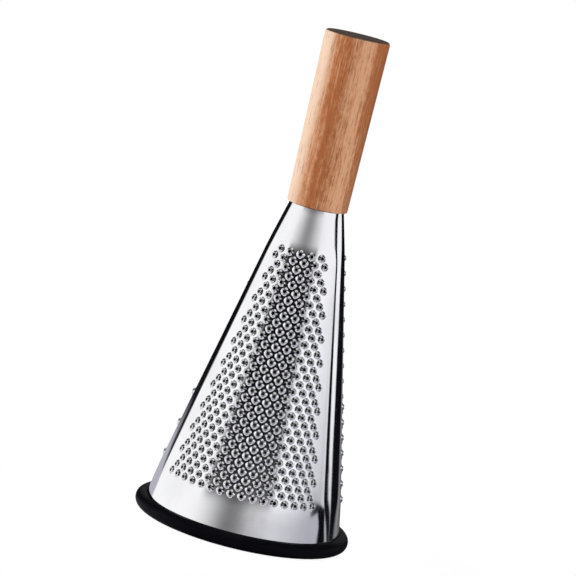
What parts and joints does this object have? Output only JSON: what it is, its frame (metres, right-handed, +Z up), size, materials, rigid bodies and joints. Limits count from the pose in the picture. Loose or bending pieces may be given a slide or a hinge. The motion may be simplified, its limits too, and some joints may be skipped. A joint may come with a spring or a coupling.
{
  "type": "cone grater",
  "caption": "Free-standing conical kitchen grater: punched steel cone with fine, medium and coarse fields, rubber foot ring and turned wooden handle.",
  "frame": {"origin": "centre of the foot ring's underside, on the surface that the grater stands on", "axes": "+Z up along the cone's axis to the handle, -Y out of the middle of the fine field, +X towards the medium field's side"},
  "size_m": [0.1212, 0.1212, 0.28],
  "materials": {
    "polished_steel": "mirror-polished stainless sheet",
    "plain_steel": "mill-finish stainless pressing",
    "zinc_steel": "bright zinc plate",
    "wood": "oiled hardwood with straight grain",
    "rubber": "satin moulded rubber"
  },
  "bodies": {
    "root": {"grater_cone": "polished_steel", "base_ring": "rubber", "handle": "wood", "neck_plate": "plain_steel", "screw_washer": "zinc_steel", "handle_screw": "zinc_steel"}
  },
  "joints": []
}
